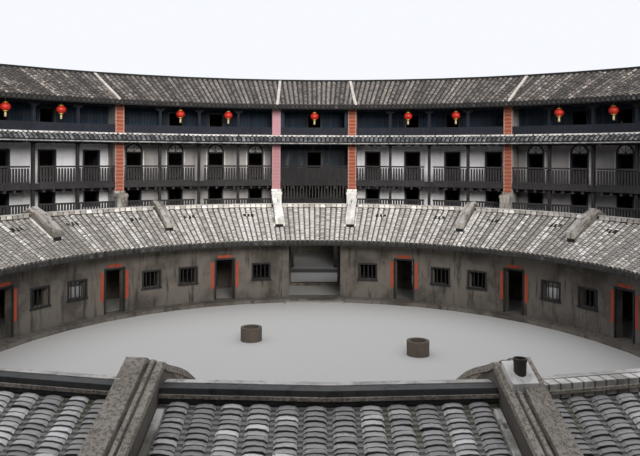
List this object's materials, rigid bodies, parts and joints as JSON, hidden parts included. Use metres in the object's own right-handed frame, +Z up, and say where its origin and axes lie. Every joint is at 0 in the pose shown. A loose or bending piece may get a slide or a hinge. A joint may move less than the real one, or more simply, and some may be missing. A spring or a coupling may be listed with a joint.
{
  "type": "tulou roundhouse, 1:2 scale model",
  "caption": "Round earth-walled communal house with a tall galleried outer ring, a low tiled inner ring, an open courtyard, gates and wells, as a half-size model",
  "frame": {"origin": "centre of the courtyard at ground level, on the axis of both rings", "axes": "+Z up; +Y from the centre towards the hall, opposite the main gate at -Y; +X towards the east side gate"},
  "size_m": [38.2, 38.2, 7.2603],
  "materials": {
    "rammed_earth": "ochre rammed earth with lift lines and a rubble stone foot, dry and matt",
    "pier_brick": "orange-red brick piers with pale mortar, white plaster below",
    "dark_timber": "unpainted old timber, dark brown to grey, dry",
    "roof_tile": "unglazed grey-brown clay tiles with pale lichen",
    "pale_tile": "unglazed pale grey clay tiles, sun-bleached, dark joints",
    "inner_plaster": "weathered grey-brown lime plaster on brick, with stains",
    "granite": "worn grey granite",
    "chimney_clay": "fired clay pot on white plaster",
    "white_plaster": "white to lavender-grey lime plaster of the room fronts, stained",
    "lantern_red": "red cloth lanterns with cream tassels",
    "dark_void": "near-black old timber deep in shade"
  },
  "bodies": {
    "root": {"chimney_pot": "chimney_clay", "dwelling_01": "dark_timber", "dwelling_02": "dark_timber", "dwelling_03": "dark_timber", "dwelling_04": "dark_timber", "dwelling_05": "dark_timber", "dwelling_06": "dark_timber", "dwelling_07": "dark_timber", "dwelling_08": "dark_timber", "dwelling_09": "dark_timber", "dwelling_10": "dark_timber", "dwelling_11": "dark_timber", "dwelling_12": "dark_timber", "earth_wall_north_east": "rammed_earth", "earth_wall_north_west": "rammed_earth", "earth_wall_south_east": "rammed_earth", "earth_wall_south_west": "rammed_earth", "east_gate_bay": "dark_timber", "hall_bay": "dark_timber", "hall_step": "granite", "inner_roof_north_east": "pale_tile", "inner_roof_north_west": "pale_tile", "inner_roof_south_east": "pale_tile", "inner_roof_south_west": "pale_tile", "inner_walls_north_east": "inner_plaster", "inner_walls_north_west": "inner_plaster", "inner_walls_south_east": "inner_plaster", "inner_walls_south_west": "inner_plaster", "main_gate_bay": "dark_timber", "main_roof_north_east": "roof_tile", "main_roof_north_west": "roof_tile", "main_roof_south_east": "roof_tile", "main_roof_south_west": "roof_tile", "party_walls_north_east": "pier_brick", "party_walls_north_west": "pier_brick", "party_walls_south_east": "pier_brick", "party_walls_south_west": "pier_brick", "skirt_roof_north_east": "roof_tile", "skirt_roof_north_west": "roof_tile", "skirt_roof_south_east": "roof_tile", "skirt_roof_south_west": "roof_tile", "well_curb_left": "granite", "well_curb_right": "granite", "west_gate_bay": "dark_timber"}
  },
  "joints": []
}
